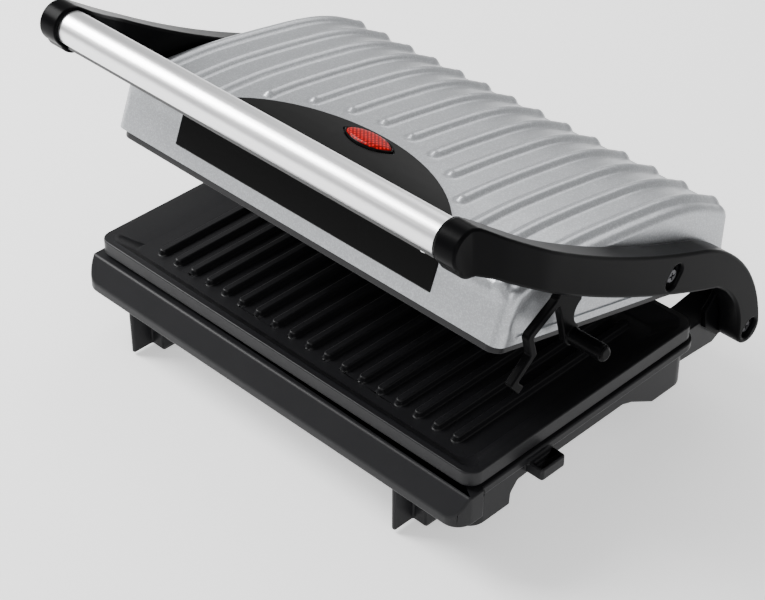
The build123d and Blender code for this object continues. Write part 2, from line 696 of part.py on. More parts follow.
with BuildPart() as right_arm:
    # run from the knuckle to the rear hook
    with BuildSketch(side(knuckle_inner)):
        with BuildLine():
            ThreePointArc((-78.0, 182.6), (-12.0, 139.8), (58.0, 107.4))
            ThreePointArc((58.0, 107.4), (91.5, 84.2), (hinge_y + hook_end_radius, hinge_z + 1))
            ThreePointArc(
                (hinge_y + hook_end_radius, hinge_z + 1),
                (hinge_y, hinge_z - hook_end_radius),
                (hinge_y - hook_end_radius, hinge_z + 1),
            )
            ThreePointArc((hinge_y - hook_end_radius, hinge_z + 1), (89.6, 61.0), (72.0, 79.6))
            ThreePointArc((72.0, 79.6), (0.7, 111.9), (-73.0, 157.0))
            Polyline((-73.0, 157.0), (-83.0, 162.4), (tube_y, tube_z + 9.8), (-78.0, 182.6))
        make_face()
        with Locations((tube_y, tube_z)):
            Circle(9.8)
        with Locations((tube_y + 1.8, tube_z - 5.0)):
            Circle(8.6)
    extrude(amount=arm_outer - knuckle_inner)
    # plan of the arm: narrow knuckle, then outwards to the side of the lid
    with BuildSketch(home):
        with BuildLine():
            Polyline(
                (knuckle_inner, -110),
                (knuckle_outer, -110),
                (knuckle_outer, -84),
                (133.4, -68),
                (arm_outer, -46),
                (arm_outer, 130),
                (arm_inner, 130),
                (arm_inner, -50),
                (knuckle_inner, -72),
                close=True,
            )
        make_face()
    extrude(amount=220, mode=Mode.INTERSECT)
    # socket for the end of the handle tube
    with BuildSketch(side(knuckle_inner - 1)):
        with Locations((tube_y, tube_z)):
            Circle(tube_radius + 0.05)
            Circle(tube_radius - tube_wall - 0.1, mode=Mode.SUBTRACT)
    extrude(amount=8, mode=Mode.SUBTRACT)
    # slanted oval recess and hole at the rear hinge
    with BuildSketch(side(arm_outer - 3.0)):
        with Locations((hinge_y, hinge_z)):
            SlotOverall(10.5, 6.6, rotation=43)
    extrude(amount=5, mode=Mode.SUBTRACT)
    with BuildSketch(side(arm_inner - 2)):
        with Locations((hinge_y, hinge_z)):
            Circle(2.5)
    extrude(amount=20, mode=Mode.SUBTRACT)
    # slanted oval recess and hole at the lid's side pivot
    with BuildSketch(side(arm_outer - 3.0)):
        with Locations((float_y, float_z)):
            SlotOverall(12.5, 7.4, rotation=54)
    extrude(amount=5, mode=Mode.SUBTRACT)
    with BuildSketch(side(arm_inner - 2)):
        with Locations((float_y, float_z)):
            Circle(2.66)
    extrude(amount=20, mode=Mode.SUBTRACT)
    # blind hole for the rear cover's screw
    with BuildSketch(side(arm_inner - 1)):
        with Locations((cover_screw_y, cover_screw_z)):
            Circle(1.4)
    extrude(amount=7, mode=Mode.SUBTRACT)
    # notch under the knuckle that takes the tube's screw
    with BuildSketch(side(knuckle_inner + 3)):
        with Locations((tube_y + 3.5, tube_z - 14.4)):
            Circle(2.4)
    extrude(amount=5, mode=Mode.SUBTRACT)

left_arm_form = mirror(right_arm.part, about=mirror_plane)
left_arm_form.label = "left_arm"
export_step(left_arm_form, "parts/left_arm.step")

with BuildPart() as right_arm_slotted:
    add(right_arm.part)
    # slot for the latch, open downwards
    with BuildSketch(side(latch_inner - 0.5)):
        with BuildLine():
            Polyline(
                (-44, 128), (-36, 134.5), (-28, 139.5), (-18, 137.5),
                (-7, 126), (-6, 108), (-50, 108), close=True,
            )
        make_face()
    extrude(amount=latch_outer - latch_inner + 1.0, mode=Mode.SUBTRACT)
    with BuildSketch(side(arm_inner - 1)):
        with Locations((latch_y, latch_z)):
            Circle(1.6)
    extrude(amount=9.5, mode=Mode.SUBTRACT)
right_arm_slotted.part.label = "right_arm"
export_step(right_arm_slotted.part, "parts/right_arm.step")

with BuildPart() as handle_tube:
    with BuildSketch(side(-knuckle_inner - 6.5)):
        with Locations((tube_y, tube_z)):
            Circle(tube_radius)
            Circle(tube_radius - tube_wall, mode=Mode.SUBTRACT)
    extrude(amount=2 * (knuckle_inner + 6.5))
    # slit along the underside for the backing strip
    with BuildSketch(side(-knuckle_inner + 0.2)):
        with Locations((tube_y, tube_z - tube_radius)):
            Rectangle(8.0, 6.0)
    extrude(amount=2 * (knuckle_inner - 0.2), mode=Mode.SUBTRACT)
handle_tube.part.label = "handle_tube"
export_step(handle_tube.part, "parts/handle_tube.step")

with BuildPart() as tube_strip:
    with BuildSketch(side(-knuckle_inner + 0.4)):
        with Locations((tube_y, tube_z - tube_radius + 0.6)):
            Rectangle(7.8, 3.6)
    extrude(amount=2 * (knuckle_inner - 0.4))
    for hole_x in (-105, 105):
        with BuildSketch(home.offset(tube_z - tube_radius - 2)):
            with Locations((hole_x, tube_y)):
                Circle(1.5)
        extrude(amount=6, mode=Mode.SUBTRACT)
tube_strip.part.label = "tube_strip"
export_step(tube_strip.part, "parts/tube_strip.step")

with BuildPart() as handle_screws:
    handle_screw = screw(1.4, 5.5, 2.8, 1.3)
    for hole_x in (-105, 105):
        head_level = home.offset(tube_z - tube_radius - 1.2)
        with Locations(head_level * Location((hole_x, tube_y, 0), (180, 0, 0))):
            add(handle_screw)
handle_screws.part.label = "handle_screws"
export_step(handle_screws.part, "parts/handle_screws.step")

with BuildPart() as hinge_cover:
    with BuildSketch(side(-arm_inner + 0.3)):
        with BuildLine() as cover_line:
            ThreePointArc((98.5, 70.0), (107.3, 56.0), (110.6, 39.5))
        trace(line_width=2.2)
    extrude(amount=2 * (arm_inner - 0.3))
    for end_x in (121.3, -arm_inner + 0.3):
        with BuildSketch(side(end_x)):
            with BuildLine():
                ThreePointArc((98.5, 70.0), (107.3, 56.0), (110.6, 39.5))
                Polyline(
                    (110.6, 39.5), (104.5, 32.8), (95.0, 33.5), (85.5, 43.0), (84.5, 52.8)
                )
                ThreePointArc((84.5, 52.8), (91.6, 60.2), (98.5, 70.0))
            make_face()
            with Locations((hinge_y, hinge_z)):
                Circle(2.5, mode=Mode.SUBTRACT)
            with Locations((cover_screw_y, cover_screw_z)):
                Circle(1.6, mode=Mode.SUBTRACT)
        extrude(amount=arm_inner - 0.3 - 121.3)
    # stiffening ribs inside the cover
    for rib_x in (-96, -48, 0, 48, 96):
        with BuildSketch(side(rib_x - 0.8)):
            with BuildLine():
                ThreePointArc((98.8, 70.0), (107.5, 56.0), (110.2, 47.0))
                Polyline((110.2, 47.0), (106.5, 49.0), (99.5, 62.0), (98.8, 70.0))
            make_face()
        extrude(amount=1.6)
hinge_cover.part.label = "hinge_cover"
export_step(hinge_cover.part, "parts/hinge_cover.step")


def both_sides(part):
    """The right-hand piece and its mirror image as one body of separate solids."""
    return Compound(children=[part, mirror(part, about=mirror_plane)])


right_cover_screw = side(121.3) * Location((cover_screw_y, cover_screw_z, 0), (180, 0, 0))
arm_cover_screws = both_sides(right_cover_screw * screw(1.35, 6.0, 2.6, 1.3))
arm_cover_screws.label = "arm_cover_screws"
export_step(arm_cover_screws, "parts/arm_cover_screws.step")

hinge_pins = both_sides(
    side(arm_outer - 3.0) * Location((hinge_y, hinge_z, 0)) * screw(2.44, 29.5, 3.1, 1.2)
)
hinge_pins.label = "hinge_pins"
export_step(hinge_pins, "parts/hinge_pins.step")

lid_pivots = both_sides(
    side(arm_outer - 3.0) * Location((float_y, float_z, 0)) * screw(2.6, 21.5, 3.4, 1.6)
)
lid_pivots.label = "lid_pivots"
export_step(lid_pivots, "parts/lid_pivots.step")


# ---------------------------------------------------------------------------
# Storage latch on the right arm
# ---------------------------------------------------------------------------
bar_y, bar_z, bar_end = -23.4, 102.6, 150.2
# front leg: down its front side to the barb, and back up its rear side
leg_outline = (
    (-32.5, 128.0), (-51.0, 117.7), (-52.2, 115.6), (-49.7, 106.0), (-61.5, 96.4), (-56.2, 89.6),
    (-53.0, 92.1), (-56.6, 96.0), (-45.5, 104.8), (-48.1, 114.6), (-30.6, 124.4),
)

with BuildPart() as latch:
    with BuildSketch(side(latch_inner)):
        # head on the pin, narrowing to the rear leg
        with Locations((latch_y, latch_z)):
            Circle(6.0)
        with BuildLine():
            Polyline((-29.0, 135.0), (-34.6, 127.0), (-31.8, 118.4), (-27.8, bar_z))
            Polyline((-27.8, bar_z), (-19.2, bar_z + 1.0), (-19.6, 106.4))
            ThreePointArc((-19.6, 106.4), (-22.6, 112.4), (-18.4, 119.0))
            Polyline((-18.4, 119.0), (-18.6, 134.0), (-29.0, 135.0))
        make_face()
        with Locations((bar_y, bar_z)):
            Circle(4.4)
        # front leg, bowed forwards, with its barb
        with BuildLine():
            Polyline(*leg_outline, close=True)
        make_face()
        with Locations((latch_y, latch_z)):
            Circle(1.56, mode=Mode.SUBTRACT)
    extrude(amount=latch_outer - latch_inner)
    # thumb bar
    with BuildSketch(side(latch_outer)):
        with Locations((bar_y, bar_z)):
            SlotOverall(8.6, 7.2, rotation=-60)
    extrude(amount=bar_end - latch_outer - 1.2)
    with BuildSketch(side(bar_end - 1.2)):
        with Locations((bar_y, bar_z)):
            SlotOverall(8.6, 7.2, rotation=-60)
    extrude(amount=1.2, taper=40)
latch.part.label = "latch"
export_step(latch.part, "parts/latch.step")

with BuildPart() as latch_pin:
    with BuildSketch(side(arm_inner + 0.4)):
        with Locations((latch_y, latch_z)):
            Circle(1.5)
    extrude(amount=8.0)
latch_pin.part.label = "latch_pin"
export_step(latch_pin.part, "parts/latch_pin.step")
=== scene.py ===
import json
from math import cos, hypot, pi, radians, sin, sqrt

import bmesh
import bpy
from mathutils import Matrix, Vector


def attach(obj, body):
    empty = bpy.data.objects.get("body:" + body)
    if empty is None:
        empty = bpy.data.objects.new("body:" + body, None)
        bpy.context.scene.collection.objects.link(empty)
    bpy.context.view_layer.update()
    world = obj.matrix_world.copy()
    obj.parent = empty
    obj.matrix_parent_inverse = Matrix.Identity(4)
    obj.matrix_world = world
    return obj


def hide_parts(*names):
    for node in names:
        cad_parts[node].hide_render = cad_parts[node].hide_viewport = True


bl_info = {
    "name": "Panini press",
    "version": (1, 0, 0),
    "blender": (4, 5, 0),
    "location": "View3D > Sidebar > Panini press",
    "description": "Builds the finished panini press around its packed frame",
    "category": "Object",
}

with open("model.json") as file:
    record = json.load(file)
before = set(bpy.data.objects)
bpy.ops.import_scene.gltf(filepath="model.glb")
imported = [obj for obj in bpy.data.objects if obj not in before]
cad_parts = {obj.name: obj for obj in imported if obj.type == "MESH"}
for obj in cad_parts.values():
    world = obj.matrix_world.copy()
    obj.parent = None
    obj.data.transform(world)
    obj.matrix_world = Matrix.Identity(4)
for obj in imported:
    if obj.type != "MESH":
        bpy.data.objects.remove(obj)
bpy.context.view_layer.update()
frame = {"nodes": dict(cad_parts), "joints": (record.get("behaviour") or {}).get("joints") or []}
MM = 0.001
MERGE = 2e-6  # metres within which loose triangles share a corner
GRAIN_DEPTH = 0.0002  # metres of relief behind moulded grain and drawn lines
JOINTS = {joint["name"]: Vector(joint["pos_m"]) for joint in frame["joints"]}
HINGE, FLOAT = JOINTS["arm_hinge"], JOINTS["lid_float"]
MID_X = HINGE.x
# the lid is drawn in its own frame: u along its lower edge rearwards, v square to it
LID_TILT = radians(14.7)
FLOAT_U, FLOAT_V = 97.78, 18.21
U_DIR = Vector((0, cos(LID_TILT), -sin(LID_TILT)))
V_DIR = Vector((0, sin(LID_TILT), cos(LID_TILT)))
LID_ORIGIN = Vector((MID_X, FLOAT.y, FLOAT.z)) - (U_DIR * FLOAT_U + V_DIR * FLOAT_V) * MM
MID_Y = HINGE.y - 102.5 * MM


def home(x, y, z):
    """Point in metres from millimetres about the press's symmetry plane and plate centre."""
    return Vector((MID_X + x * MM, MID_Y + y * MM, z * MM))


def lid(x, u, v):
    """Point in metres from millimetres in the lid's own frame."""
    return LID_ORIGIN + Vector((x * MM, 0, 0)) + (U_DIR * u + V_DIR * v) * MM


# ---------------------------------------------------------------------------
# Settings
# ---------------------------------------------------------------------------
class LidSettings(bpy.types.PropertyGroup):
    rib_count: bpy.props.IntProperty(name="Ribs", description="Raised ribs across the lid", default=14)
    rib_pitch: bpy.props.FloatProperty(
        name="Rib pitch", description="Millimetres from rib to rib", default=17.6
    )
    rib_width: bpy.props.FloatProperty(
        name="Rib width", description="Millimetres across one rib", default=7.2
    )
    rib_height: bpy.props.FloatProperty(
        name="Rib height", description="Millimetres from valley to crest", default=2.55
    )
    silver: bpy.props.FloatVectorProperty(
        name="Silver paint", description="Colour of the lid", subtype="COLOR", default=(0.34, 0.35, 0.365)
    )
    lens: bpy.props.FloatVectorProperty(
        name="Lamp lens", description="Brightest colour of the lens", subtype="COLOR", default=(0.62, 0, 0)
    )


class BodySettings(bpy.types.PropertyGroup):
    black: bpy.props.FloatVectorProperty(
        name="Black plastic", description="Colour of arms and latch", subtype="COLOR",
        default=(0.0022, 0.0022, 0.0025),
    )
    charcoal: bpy.props.FloatVectorProperty(
        name="Housing plastic", description="Colour of the base", subtype="COLOR",
        default=(0.009, 0.009, 0.010),
    )
    aluminium: bpy.props.FloatVectorProperty(
        name="Handle metal", description="Colour of the tube", subtype="COLOR",
        default=(0.86, 0.86, 0.87),
    )
    tube_radius: bpy.props.FloatProperty(
        name="Tube radius", description="Handle tube's radius in millimetres", default=8.2
    )
    edge_radius: bpy.props.FloatProperty(
        name="Edge radius", description="Moulded edges' radius in millimetres", default=0.7
    )


class PlateSettings(bpy.types.PropertyGroup):
    edge_radius: bpy.props.FloatProperty(
        name="Plate edges", description="Radius of the cooking plates' edges", default=0.0006, unit="LENGTH"
    )


SETTINGS = {"press_lid": LidSettings, "press_body": BodySettings, "press_plates": PlateSettings}


# ---------------------------------------------------------------------------
# Shader groups and materials
# ---------------------------------------------------------------------------
def new_group(name, inputs, outputs):
    """Empty shader group with named sockets, and its two ends."""
    tree = bpy.data.node_groups.new(name, "ShaderNodeTree")
    for label, kind, value in inputs:
        socket = tree.interface.new_socket(label, in_out="INPUT", socket_type=kind)
        socket.default_value = value
    for label, kind in outputs:
        tree.interface.new_socket(label, in_out="OUTPUT", socket_type=kind)
    return tree, tree.nodes.new("NodeGroupInput"), tree.nodes.new("NodeGroupOutput")


def math_node(tree, operation, first, second=None, third=None):
    """One Math node, fed by sockets or numbers."""
    node = tree.nodes.new("ShaderNodeMath")
    node.operation = operation
    for index, value in enumerate((first, second, third)):
        if isinstance(value, (int, float)):
            node.inputs[index].default_value = value
        elif value is not None:
            tree.links.new(value, node.inputs[index])
    return node.outputs[0]


def moulded_grain():
    """Fine moulding grain: a height for Bump and a roughness that drifts a little."""
    tree, ends, out = new_group(
        "Moulded grain",
        [
            ("Scale", "NodeSocketFloat", 1500.0),
            ("Roughness", "NodeSocketFloat", 0.4),
            ("Drift", "NodeSocketFloat", 0.08),
        ],
        [("Height", "NodeSocketFloat"), ("Roughness", "NodeSocketFloat")],
    )
    where = tree.nodes.new("ShaderNodeTexCoord").outputs["Object"]
    fine = tree.nodes.new("ShaderNodeTexNoise")
    fine.inputs["Detail"].default_value = 3
    broad = tree.nodes.new("ShaderNodeTexNoise")
    broad.inputs["Scale"].default_value = 45
    broad.inputs["Detail"].default_value = 4
    tree.links.new(where, fine.inputs["Vector"])
    tree.links.new(where, broad.inputs["Vector"])
    tree.links.new(ends.outputs["Scale"], fine.inputs["Scale"])
    tree.links.new(fine.outputs["Fac"], out.inputs["Height"])
    centred = math_node(tree, "SUBTRACT", broad.outputs["Fac"], 0.5)
    rough = math_node(tree, "MULTIPLY_ADD", centred, ends.outputs["Drift"], ends.outputs["Roughness"])
    tree.links.new(rough, out.inputs["Roughness"])
    return tree


def metal_flake():
    """Speckled paint: small flakes that change colour, and a fine height for Bump."""
    tree, ends, out = new_group(
        "Metal flake",
        [
            ("Paint", "NodeSocketColor", (0.5, 0.5, 0.5, 1)),
            ("Flake", "NodeSocketColor", (0.8, 0.8, 0.8, 1)),
            ("Scale", "NodeSocketFloat", 1400.0),
            ("Amount", "NodeSocketFloat", 0.3),
        ],
        [("Color", "NodeSocketColor"), ("Height", "NodeSocketFloat")],
    )
    where = tree.nodes.new("ShaderNodeTexCoord").outputs["Object"]
    cells = tree.nodes.new("ShaderNodeTexVoronoi")
    noise = tree.nodes.new("ShaderNodeTexNoise")
    noise.inputs["Detail"].default_value = 2
    for node in (cells, noise):
        tree.links.new(where, node.inputs["Vector"])
        tree.links.new(ends.outputs["Scale"], node.inputs["Scale"])
    tone = tree.nodes.new("ShaderNodeSeparateColor")
    tree.links.new(cells.outputs["Color"], tone.inputs["Color"])
    mask = math_node(tree, "MULTIPLY", math_node(tree, "POWER", tone.outputs[0], 2.5), ends.outputs["Amount"])
    mix = tree.nodes.new("ShaderNodeMix")
    mix.data_type = "RGBA"
    tree.links.new(mask, mix.inputs["Factor"])
    tree.links.new(ends.outputs["Paint"], mix.inputs[6])
    tree.links.new(ends.outputs["Flake"], mix.inputs[7])
    tree.links.new(mix.outputs[2], out.inputs["Color"])
    tree.links.new(noise.outputs["Fac"], out.inputs["Height"])
    return tree


def drawn_lines():
    """Fine lines along X, as drawing leaves on a tube."""
    tree, ends, out = new_group(
        "Drawn lines",
        [
            ("Scale", "NodeSocketFloat", 900.0),
            ("Roughness", "NodeSocketFloat", 0.25),
            ("Spread", "NodeSocketFloat", 0.2),
        ],
        [("Height", "NodeSocketFloat"), ("Roughness", "NodeSocketFloat")],
    )
    where = tree.nodes.new("ShaderNodeTexCoord").outputs["Object"]
    stretch = tree.nodes.new("ShaderNodeMapping")
    stretch.inputs["Scale"].default_value = (0.012, 1, 1)
    noise = tree.nodes.new("ShaderNodeTexNoise")
    noise.inputs["Detail"].default_value = 4
    tree.links.new(where, stretch.inputs["Vector"])
    tree.links.new(stretch.outputs[0], noise.inputs["Vector"])
    tree.links.new(ends.outputs["Scale"], noise.inputs["Scale"])
    centred = math_node(tree, "SUBTRACT", noise.outputs["Fac"], 0.5)
    rough = math_node(tree, "MULTIPLY_ADD", centred, ends.outputs["Spread"], ends.outputs["Roughness"])
    tree.links.new(noise.outputs["Fac"], out.inputs["Height"])
    tree.links.new(rough, out.inputs["Roughness"])
    return tree


def shader_group(name, build):
    """A shared group, built the first time it is asked for."""
    return bpy.data.node_groups.get(name) or build()


def blank_material(name, color, metallic=0.0, roughness=0.4, **sockets):
    """Material whose Principled BSDF holds the plain values; returns it with tree and shader."""
    material = bpy.data.materials.new(name)
    material.use_nodes = True
    tree = material.node_tree
    shader = tree.nodes["Principled BSDF"]
    shader.inputs["Base Color"].default_value = (*color, 1)
    shader.inputs["Metallic"].default_value = metallic
    shader.inputs["Roughness"].default_value = roughness
    for label, value in sockets.items():
        shader.inputs[label.replace("_", " ")].default_value = value
    return material, tree, shader


def add_bump(tree, shader, height, strength, distance):
    """Bump from a height socket."""
    bump = tree.nodes.new("ShaderNodeBump")
    bump.inputs["Strength"].default_value = strength
    bump.inputs["Distance"].default_value = distance
    tree.links.new(height, bump.inputs["Height"])
    tree.links.new(bump.outputs[0], shader.inputs["Normal"])


def grained(name, color, roughness, drift=0.08, scale=1500.0, strength=0.12, **sockets):
    """Moulded or coated surface with fine grain."""
    found = bpy.data.materials.get(name)
    if found:
        return found
    material, tree, shader = blank_material(name, color, roughness=roughness, **sockets)
    grain = tree.nodes.new("ShaderNodeGroup")
    grain.node_tree = shader_group("Moulded grain", moulded_grain)
    grain.inputs["Scale"].default_value = scale
    grain.inputs["Roughness"].default_value = roughness
    grain.inputs["Drift"].default_value = drift
    tree.links.new(grain.outputs["Roughness"], shader.inputs["Roughness"])
    add_bump(tree, shader, grain.outputs["Height"], strength, GRAIN_DEPTH)
    return material


def silver_paint():
    """Satin silver paint with fine flakes."""
    color = bpy.context.scene.press_lid.silver
    material, tree, shader = blank_material("silver paint", color, metallic=0.7, roughness=0.34)
    flake = tree.nodes.new("ShaderNodeGroup")
    flake.node_tree = shader_group("Metal flake", metal_flake)
    flake.inputs["Paint"].default_value = (*color, 1)
    flake.inputs["Flake"].default_value = (0.62, 0.64, 0.66, 1)
    flake.inputs["Scale"].default_value = 2000
    flake.inputs["Amount"].default_value = 0.45
    tree.links.new(flake.outputs["Color"], shader.inputs["Base Color"])
    add_bump(tree, shader, flake.outputs["Height"], 0.06, 0.0001)
    return material


def drawn_metal(name, color, roughness, scale=900.0):
    """Bare metal with fine lengthwise lines."""
    material, tree, shader = blank_material(name, color, metallic=1.0, roughness=roughness)
    lines = tree.nodes.new("ShaderNodeGroup")
    lines.node_tree = shader_group("Drawn lines", drawn_lines)
    lines.inputs["Scale"].default_value = scale
    lines.inputs["Roughness"].default_value = roughness
    tree.links.new(lines.outputs["Roughness"], shader.inputs["Roughness"])
    add_bump(tree, shader, lines.outputs["Height"], 0.18, GRAIN_DEPTH)
    return material


def lens_plastic():
    """Clear red lens over a cross-hatched, lit back."""
    color = bpy.context.scene.press_lid.lens
    material, tree, shader = blank_material(
        "red lens", color, roughness=0.34, Specular_IOR_Level=0.12, Emission_Strength=0.4
    )
    where = tree.nodes.new("ShaderNodeTexCoord").outputs["Object"]
    heights = []
    for turn in (45, -45):
        wave = tree.nodes.new("ShaderNodeTexWave")
        wave.inputs["Scale"].default_value = 190
        spin = tree.nodes.new("ShaderNodeMapping")
        spin.inputs["Rotation"].default_value = (0, 0, radians(turn))
        tree.links.new(where, spin.inputs["Vector"])
        tree.links.new(spin.outputs[0], wave.inputs["Vector"])
        heights.append(wave.outputs["Fac"])
    hatch = math_node(tree, "MULTIPLY", *heights)
    ramp = tree.nodes.new("ShaderNodeValToRGB")
    for element, share in zip(ramp.color_ramp.elements, (0.16, 1.0)):
        element.color = (*(share * channel for channel in color), 1)
    tree.links.new(hatch, ramp.inputs[0])
    tree.links.new(ramp.outputs[0], shader.inputs["Base Color"])
    tree.links.new(ramp.outputs[0], shader.inputs["Emission Color"])
    add_bump(tree, shader, hatch, 0.2, 0.0003)
    return material


# ---------------------------------------------------------------------------
# Mesh helpers
# ---------------------------------------------------------------------------
def finish_piece(mesh, name, body, material, nodes=(), sharp=None):
    """Mesh to a finished piece that rides on a body and stands for CAD nodes."""
    piece = bpy.data.objects.new(name, mesh)
    bpy.context.scene.collection.objects.link(piece)
    mesh.materials.clear()
    mesh.materials.append(material)
    if sharp:
        mesh.shade_smooth()
        mesh.set_sharp_from_angle(angle=radians(sharp))
    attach(piece, body)
    if nodes:
        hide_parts(*nodes)
    return piece


def rings_to_mesh(name, rings, close_ends=True):
    """Closed skin through rings of the same number of points."""
    work = bmesh.new()
    rows = [[work.verts.new(point) for point in ring] for ring in rings]
    count = len(rings[0])
    for low, high in zip(rows, rows[1:]):
        for i in range(count):
            j = (i + 1) % count
            work.faces.new((low[i], low[j], high[j], high[i]))
    if close_ends:
        work.faces.new(rows[0])
        work.faces.new(rows[-1])
    bmesh.ops.remove_doubles(work, verts=work.verts, dist=MERGE)
    bmesh.ops.recalc_face_normals(work, faces=work.faces)
    mesh = bpy.data.meshes.new(name)
    work.to_mesh(mesh)
    work.free()
    return mesh


def evaluated(piece):
    """The piece's mesh with its modifiers applied; the helper object is removed."""
    graph = bpy.context.evaluated_depsgraph_get()
    mesh = bpy.data.meshes.new_from_object(piece.evaluated_get(graph), depsgraph=graph)
    bpy.data.objects.remove(piece)
    return mesh


def helper_object(mesh, name="helper"):
    """Object that only lives until its modifiers are applied."""
    piece = bpy.data.objects.new(name, mesh)
    bpy.context.scene.collection.objects.link(piece)
    return piece


def softened(node, width, segments=3, angle=32):
    """Copy of a CAD node's mesh with its sharp edges rounded."""
    work = bmesh.new()
    work.from_mesh(frame["nodes"][node].data)
    bmesh.ops.remove_doubles(work, verts=work.verts, dist=MERGE)
    bmesh.ops.dissolve_limit(work, angle_limit=radians(0.6), verts=work.verts, edges=work.edges)
    mesh = bpy.data.meshes.new(node)
    work.to_mesh(mesh)
    work.free()
    mesh.shade_smooth()
    mesh.set_sharp_from_angle(angle=radians(angle))
    piece = helper_object(mesh)
    bevel = piece.modifiers.new("edges", "BEVEL")
    bevel.width = width * MM
    bevel.segments = segments
    bevel.limit_method = "ANGLE"
    bevel.angle_limit = radians(angle)
    bevel.use_clamp_overlap = False
    bevel.miter_outer = "MITER_ARC"
    shading = piece.modifiers.new("shading", "WEIGHTED_NORMAL")
    shading.keep_sharp = True
    return evaluated(piece)


def soften_node(node, name, body, material, width, segments, angle=32):
    """Finished piece made from a CAD node's own shape, with its edges rounded."""
    return finish_piece(softened(node, width, segments, angle), name, body, material, (node,))


# ---------------------------------------------------------------------------
# Geometry Nodes
# ---------------------------------------------------------------------------
def nodes_tree(name, inputs):
    """Geometry tree with a geometry in and out and the named inputs."""
    tree = bpy.data.node_groups.new(name, "GeometryNodeTree")
    tree.interface.new_socket("Geometry", in_out="INPUT", socket_type="NodeSocketGeometry")
    tree.interface.new_socket("Geometry", in_out="OUTPUT", socket_type="NodeSocketGeometry")
    for label, kind in inputs:
        tree.interface.new_socket(label, in_out="INPUT", socket_type=kind)
    return tree, tree.nodes.new("NodeGroupInput"), tree.nodes.new("NodeGroupOutput")


def close_tree(tree, ends, out, geometry):
    """Ends a tree in Realize Instances and Set Material."""
    real = tree.nodes.new("GeometryNodeRealizeInstances")
    paint = tree.nodes.new("GeometryNodeSetMaterial")
    tree.links.new(geometry, real.inputs["Geometry"])
    tree.links.new(real.outputs["Geometry"], paint.inputs["Geometry"])
    tree.links.new(ends.outputs["Material"], paint.inputs["Material"])
    tree.links.new(paint.outputs["Geometry"], out.inputs["Geometry"])


def screw_tree():
    """Pan-head screw heads with a cross recess, one on each vertex, heads pointing down."""
    tree, ends, out = nodes_tree(
        "Screw heads",
        [
            ("Head radius", "NodeSocketFloat"),
            ("Head height", "NodeSocketFloat"),
            ("Material", "NodeSocketMaterial"),
        ],
    )
    head = tree.nodes.new("GeometryNodeMeshCylinder")
    head.inputs["Vertices"].default_value = 28
    tree.links.new(ends.outputs["Head radius"], head.inputs["Radius"])
    tree.links.new(ends.outputs["Head height"], head.inputs["Depth"])
    slot_long = math_node(tree, "MULTIPLY", ends.outputs["Head radius"], 1.15)
    slot_wide = math_node(tree, "MULTIPLY", ends.outputs["Head radius"], 0.26)
    cut = tree.nodes.new("GeometryNodeMeshBoolean")
    tree.links.new(head.outputs["Mesh"], cut.inputs["Mesh 1"])
    for first, second in ((slot_long, slot_wide), (slot_wide, slot_long)):
        size = tree.nodes.new("ShaderNodeCombineXYZ")
        tree.links.new(first, size.inputs[0])
        tree.links.new(second, size.inputs[1])
        tree.links.new(ends.outputs["Head height"], size.inputs[2])
        bar = tree.nodes.new("GeometryNodeMeshCube")
        tree.links.new(size.outputs[0], bar.inputs["Size"])
        lower = tree.nodes.new("GeometryNodeTransform")
        shift = tree.nodes.new("ShaderNodeCombineXYZ")
        tree.links.new(math_node(tree, "MULTIPLY", ends.outputs["Head height"], -0.5), shift.inputs[2])
        tree.links.new(bar.outputs["Mesh"], lower.inputs["Geometry"])
        tree.links.new(shift.outputs[0], lower.inputs["Translation"])
        tree.links.new(lower.outputs[0], cut.inputs["Mesh 2"])
    seat = tree.nodes.new("GeometryNodeTransform")
    drop = tree.nodes.new("ShaderNodeCombineXYZ")
    tree.links.new(math_node(tree, "MULTIPLY", ends.outputs["Head height"], -0.5), drop.inputs[2])
    tree.links.new(cut.outputs["Mesh"], seat.inputs["Geometry"])
    tree.links.new(drop.outputs[0], seat.inputs["Translation"])
    spread = tree.nodes.new("GeometryNodeInstanceOnPoints")
    tree.links.new(ends.outputs["Geometry"], spread.inputs["Points"])
    tree.links.new(seat.outputs[0], spread.inputs["Instance"])
    close_tree(tree, ends, out, spread.outputs["Instances"])
    return tree


def grown(mesh, tree, values):
    """Runs a geometry tree on a mesh with the given inputs, and returns a plain mesh."""
    piece = helper_object(mesh)
    modifier = piece.modifiers.new("tree", "NODES")
    modifier.node_group = tree
    for item in tree.interface.items_tree:
        if item.in_out == "INPUT" and item.name in values:
            modifier[item.identifier] = values[item.name]
    return evaluated(piece)


def points_mesh(points):
    """Mesh of loose vertices."""
    mesh = bpy.data.meshes.new("points")
    mesh.from_pydata([tuple(point) for point in points], [], [])
    return mesh


# ---------------------------------------------------------------------------
# Lid
# ---------------------------------------------------------------------------
WALL_LEAN = 3.0 / 23.6
CROWN = (
    (0, 23.0), (3, 25.2), (8, 27.6), (20, 31.2), (45, 36.2),
    (73, 39.3), (107, 42.0), (126, 41.2), (140, 38.0), (148, 35.7),
)
LID_DEPTH = 162
CROWN_END = 148
GROOVE_LEVELS = (14.0, 6.4, 4.9, 4.6, 3.7, 3.4, 0.0)
GROOVE_INSET = {4.6: 0.8, 3.7: 0.8}


def crown(u):
    """Height of the lid's valleys at u, in millimetres."""
    for (u0, v0), (u1, v1) in zip(CROWN, CROWN[1:]):
        if u <= u1:
            return v0 + (v1 - v0) * (u - u0) / (u1 - u0)
    return CROWN[-1][1]


def smooth_crown(u):
    """The same, averaged so that the crown has no corners."""
    span = min(9.0, max(0.0, u), max(0.0, CROWN_END - u)) + 0.01
    return sum(crown(min(max(u + span * k / 4, 0), CROWN_END)) for k in range(-4, 5)) / 9


